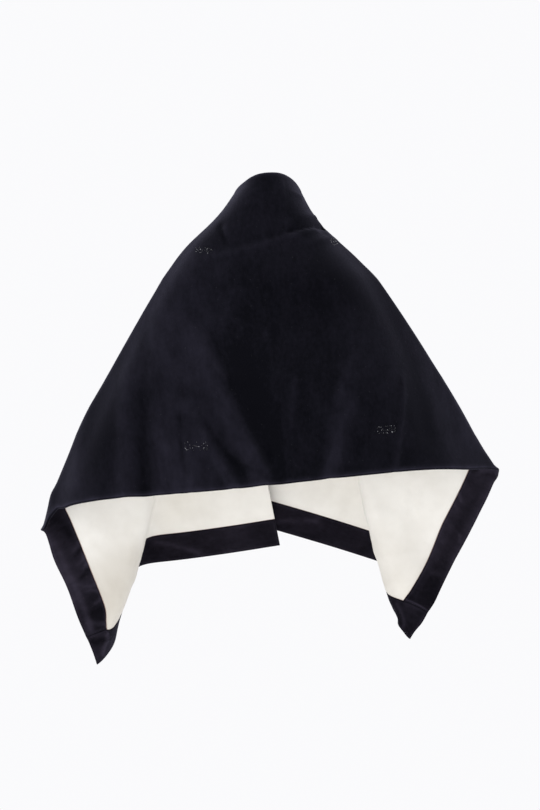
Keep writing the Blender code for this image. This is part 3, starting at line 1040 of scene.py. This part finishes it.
BAND_WRINKLES = (
    Fold("left corner shade", 0.486, 0.030, 0.520, 0.038, 0.0120, -0.0004, -0.0006, 0.002),
    Fold("left seam pucker", 0.536, 0.049, 0.545, 0.035, 0.0050, 0.0014, 0.0006, 0.001, 0.3),
    Fold("left seam dip", 0.548, 0.049, 0.556, 0.034, 0.0060, -0.0012, -0.0008, 0.001, 0.3),
    Fold("left seam second pucker", 0.562, 0.049, 0.571, 0.032, 0.0050, 0.0016, 0.0008, 0.002, 0.3),
    Fold("left seam third pucker", 0.577, 0.048, 0.583, 0.039, 0.0045, 0.0018, 0.0010, -0.001, 0.4),
    Fold("left seam second dip", 0.590, 0.047, 0.596, 0.030, 0.0080, -0.0012, -0.0006, -0.001, 0.2),
    Fold("left crinkle", 0.618, 0.050, 0.607, 0.022, 0.0060, 0.0014, 0.0004, 0.003, 0.3),
    Fold("left second crinkle", 0.634, 0.050, 0.622, 0.030, 0.0055, 0.0016, 0.0008, -0.002, 0.3),
    Fold("left third crinkle", 0.645, 0.048, 0.650, 0.036, 0.0050, 0.0012, 0.0008, 0.001, 0.3),
    Fold("left long crinkle", 0.690, 0.046, 0.676, 0.012, 0.0060, 0.0012, 0.0004, 0.002, 0.2),
    Fold("left tip fold", 0.709, 0.047, 0.739, 0.016, 0.0060, 0.0024, 0.0018, -0.003, 0.4),
    Fold("left outer ridge", 0.520, 0.013, 0.690, 0.012, 0.0090, 0.0006, 0.0014, 0.002),
    Fold("right corner pinch", -0.416, 0.030, -0.404, 0.002, 0.0070, 0.0016, 0.0012, 0.002, 0.3),
    Fold("right seam pucker", -0.474, 0.050, -0.486, 0.040, 0.0050, 0.0018, 0.0010, 0.001, 0.4),
    Fold("right seam second pucker", -0.492, 0.049, -0.500, 0.040, 0.0050, 0.0010, 0.0006, -0.001, 0.3),
    Fold("right crinkle", -0.540, 0.014, -0.547, 0.009, 0.0040, 0.0010, 0.0006, 0.001, 0.3),
    Fold("right long crinkle", -0.630, 0.030, -0.622, 0.006, 0.0060, 0.0005, 0.0003, 0.002, 0.2),
    Fold("right ridge", -0.696, 0.047, -0.698, 0.004, 0.0035, 0.0012, 0.0010, 0.001, 0.5),
    Fold("right tip ridge", -0.708, 0.060, -0.742, 0.026, 0.0050, 0.0012, 0.0009, 0.003, 0.4),
    Fold("hem band pucker", -0.100, 0.046, -0.110, 0.020, 0.0070, 0.0010, 0.0004, 0.002, 0.2),
    Fold("hem band second pucker", 0.080, 0.047, 0.096, 0.018, 0.0070, 0.0010, 0.0005, -0.002, 0.2),
    Fold("left end pucker", 0.704, 0.180, 0.735, 0.196, 0.0070, 0.0010, 0.0006, 0.002, 0.2),
    Fold("right end pucker", -0.704, 0.210, -0.738, 0.226, 0.0070, 0.0010, 0.0006, 0.002, 0.2),
    Fold("left end long pucker", 0.712, 0.300, 0.742, 0.380, 0.0080, 0.0010, 0.0008, 0.003, 0.2),
    Fold("right end long pucker", -0.712, 0.340, -0.744, 0.430, 0.0080, 0.0010, 0.0008, -0.003, 0.2),
)


@dataclass
class StrapStitching:
    """Boxed crosses of thread that hold a strap's end on the inside, sewn through the velvet."""

    name: str = "strap_stitching"
    slot: Slot = Slot.VELVET
    stitch: float = 0.0032
    gap: float = 0.0008
    thick: float = 0.00048
    above: float = 0.00235
    wander: float = 0.0010
    sunk_share: float = 0.30
    # middle_u, middle_v, width, height, turned by
    boxes: tuple[tuple[float, float, float, float, float], ...] = field(default=(
        (-0.176, 0.072, 0.030, 0.010, 0.04),
        (0.145, 0.075, 0.038, 0.012, 0.05),
        (0.103, 0.401, 0.032, 0.009, 0.25),
        (-0.142, 0.412, 0.022, 0.010, -0.35),
    ))

    def stitches(self) -> list[tuple[float, float, float]]:
        """Middle and direction of every stitch of the boxes on the flat cut."""
        found = []
        for middle_u, middle_v, width, height, turn in self.boxes:
            a, b = width / 2, height / 2
            corners = [(-a, -b), (a, -b), (a, b), (-a, b)]
            lines = list(zip(corners, corners[1:] + corners[:1]))
            lines += [(corners[0], corners[2]), (corners[3], corners[1]), ((-a, 0), (a, 0))]
            for (x0, y0), (x1, y1) in lines:
                count = max(round(math.hypot(x1 - x0, y1 - y0) / (self.stitch + self.gap)), 1)
                for i in range(count):
                    t = (i + 0.5) / count
                    x, y = x0 + t * (x1 - x0), y0 + t * (y1 - y0)
                    found.append((middle_u + x * math.cos(turn) - y * math.sin(turn),
                                  middle_v + x * math.sin(turn) + y * math.cos(turn),
                                  math.atan2(y1 - y0, x1 - x0) + turn))
        return found

    def build(self, drape: Drape) -> bpy.types.Object:
        """Makes every stitch as a small closed grain that follows the draped velvet."""
        thread = bmesh.new()
        for i, (u, v, turn) in enumerate(self.stitches()):
            chance = [math.sin(12.9898 * i + 4.1 * k) * 43758.5453 % 1 for k in range(5)]
            if chance[0] < self.sunk_share:
                continue
            u, v = u + self.wander * (2 * chance[1] - 1), v + self.wander * (2 * chance[2] - 1)
            length = self.stitch * (0.35 + 0.7 * chance[3]) / 2
            size = Matrix.Diagonal((length, self.thick, self.thick, 1))
            place = Matrix.Translation((u, v, 0)) @ Matrix.Rotation(turn + 1.6 * (chance[4] - 0.5), 4, "Z") @ size
            bmesh.ops.create_uvsphere(thread, u_segments=8, v_segments=5, radius=1.0,
                                      matrix=place @ Matrix.Rotation(math.pi / 2, 4, "Y"))
        bmesh.ops.recalc_face_normals(thread, faces=thread.faces[:])
        bmesh.ops.reverse_faces(thread, faces=thread.faces[:])
        data = bpy.data.meshes.new(self.name)
        thread.to_mesh(data)
        thread.free()
        laid = np.array([vertex.co[:] for vertex in data.vertices])
        corner = np.array([loop.vertex_index for loop in data.loops])
        data.uv_layers.new(name="cut").data.foreach_set("uv", laid[corner][:, :2].ravel())
        data.vertices.foreach_set("co", drape.apply(laid[:, :2], self.above + laid[:, 2]).ravel())
        data.shade_smooth()
        piece = bpy.data.objects.new(self.name, data)
        bpy.context.scene.collection.objects.link(piece)
        return piece

    def dress(self, piece: bpy.types.Object, material: bpy.types.Material) -> None:
        """Gives the stitches their thread and their place in the frame."""
        piece.data.materials.append(material)
        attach(piece, "root")
        LOG.info("%s: %d faces", self.name, len(piece.data.polygons))


@dataclass
class Stole:
    """The whole stole: velvet outside, satin inside, and a band of velvet facing along the hem and both ends."""

    length: float = 1.500
    width: float = 0.530
    band: float = 0.050
    velvet: float = 0.0022
    lining: float = 0.0010
    facing: float = 0.0014
    gap: float = 0.0003

    def build(self, drape: Drape) -> None:
        """Makes and dresses every cloth, and the stitching."""
        half, seam, gap = self.length / 2, self.length / 2 - self.band, self.gap / 2
        pile = VelvetFinish().material()
        inside = VelvetFinish(name="black velvet facing", deep=(0.0046, 0.0041, 0.0060),
                              pale_pile_and_painted_light=(0.0320, 0.0275, 0.0410), mottling=0.40, sheen=0.09).material()
        satin = SatinFinish().material()
        shell = VelvetShell("velvet_cloth", Slot.VELVET, (-half, half), (0, self.width), 0, self.velvet,
                            rounded=(Face.OUTER,), patches=SHELL_PAINTED_LIGHT, painted_edge_highlight=1.1)
        shell.dress(shell.build(drape), pile, "velvet_shell")
        lining = Lining("satin_lining", Slot.SATIN, (-seam + gap, seam - gap), (self.band + gap, self.width),
                        -self.gap - self.lining, -self.gap, turned=0.0010, rounded=(Face.INNER,),
                        wrinkles=WRINKLES, patches=LINING_PAINTED_SHADE, evenly=0.0, crest=0.0, painted_edge_highlight=0.0)
        lining.dress(lining.build(drape), satin, "lining")
        strips = (("hem_band", "hem_facing", (-seam + gap, seam - gap), (0, self.band - gap)),
                  ("left_end_band", "left_end_facing", (seam + gap, half), (0, self.width)),
                  ("right_end_band", "right_end_facing", (-half, -seam - gap), (0, self.width)))
        for name, node, span_u, span_v in strips:
            strip = Cloth(name, Slot.FACING, span_u, span_v, -self.gap - self.facing, -self.gap,
                          turned=0.0018, rounded=(Face.INNER,), split=2, wrinkles=BAND_WRINKLES,
                          patches=FACING_PAINTED_LIGHT, evenly=0.22, crest=100.0, own_crest=420.0, painted_edge_highlight=0.28)
            strip.dress(strip.build(drape), inside, node)
        stitching = StrapStitching()
        stitching.dress(stitching.build(drape), ThreadFinish().material())


@dataclass
class Studio:
    """Camera behind the cape, soft lights round it, a pale floor below it and a pale surround."""

    camera_place: tuple[float, float, float] = (-0.0138, 4.5, -0.279)
    lens_mm: float = 116.28
    floor_z: float = -1.45
    floor_radius: float = 2.6
    surround: tuple[float, float, float] = (0.96, 0.96, 0.975)
    surround_strength: float = 1.0
    # name, place, aim, size, watts
    lights: tuple[tuple[str, tuple, tuple, float, float], ...] = (
        ("left softbox", (3.2, 0.8, 1.5), (0.1, 0.0, -0.3), 1.0, 75.0),
        ("right softbox", (-3.2, 0.9, 1.2), (-0.1, 0.0, -0.3), 1.0, 45.0),
        ("front fill", (0.6, -3.0, 1.6), (0.0, 0.0, -0.3), 2.0, 45.0),
        ("back fill", (0.4, 4.2, -0.8), (0.0, 0.0, -0.4), 1.8, 23.0),
    )

    def build(self) -> None:
        """Makes all of it."""
        camera = bpy.data.cameras.new("camera")
        camera.lens = self.lens_mm
        camera.sensor_width = 36.0
        holder = bpy.data.objects.new("camera", camera)
        holder.location = self.camera_place
        holder.rotation_euler = (math.pi / 2, 0, math.pi)
        bpy.context.scene.collection.objects.link(holder)
        bpy.context.scene.camera = holder
        for name, place, aim, size, watts in self.lights:
            self._light(name, Vector(place), Vector(aim), size, watts)
        self._floor()
        world = bpy.data.worlds.new("studio surround")
        world.use_nodes = True
        shade = world.node_tree.nodes["Background"]
        shade.inputs["Color"].default_value = (*self.surround, 1)
        shade.inputs["Strength"].default_value = self.surround_strength
        bpy.context.scene.world = world
        bpy.context.scene.view_settings.view_transform = "Standard"

    def _light(self, name: str, place: Vector, aim: Vector, size: float, watts: float) -> None:
        """Adds one square area light that looks at its aim."""
        light = bpy.data.lights.new(name, "AREA")
        light.size = size
        light.energy = watts
        holder = bpy.data.objects.new(name, light)
        holder.location = place
        holder.rotation_euler = (aim - place).to_track_quat("-Z", "Y").to_euler()
        bpy.context.scene.collection.objects.link(holder)

    def _floor(self) -> None:
        """Adds the floor disc."""
        disc = bmesh.new()
        bmesh.ops.create_circle(disc, cap_ends=True, segments=96, radius=self.floor_radius,
                                matrix=Matrix.Translation((0, 0, self.floor_z)))
        data = bpy.data.meshes.new("studio_floor")
        disc.to_mesh(data)
        disc.free()
        data.materials.append(FloorFinish().material())
        floor = bpy.data.objects.new("studio_floor", data)
        bpy.context.scene.collection.objects.link(floor)


def main() -> None:
    """Builds the stole and the studio."""
    logging.basicConfig(level=logging.INFO, format="%(name)s: %(message)s")
    Studio().build()
    Stole().build(Drape())


if __name__ == "__main__":
    main()
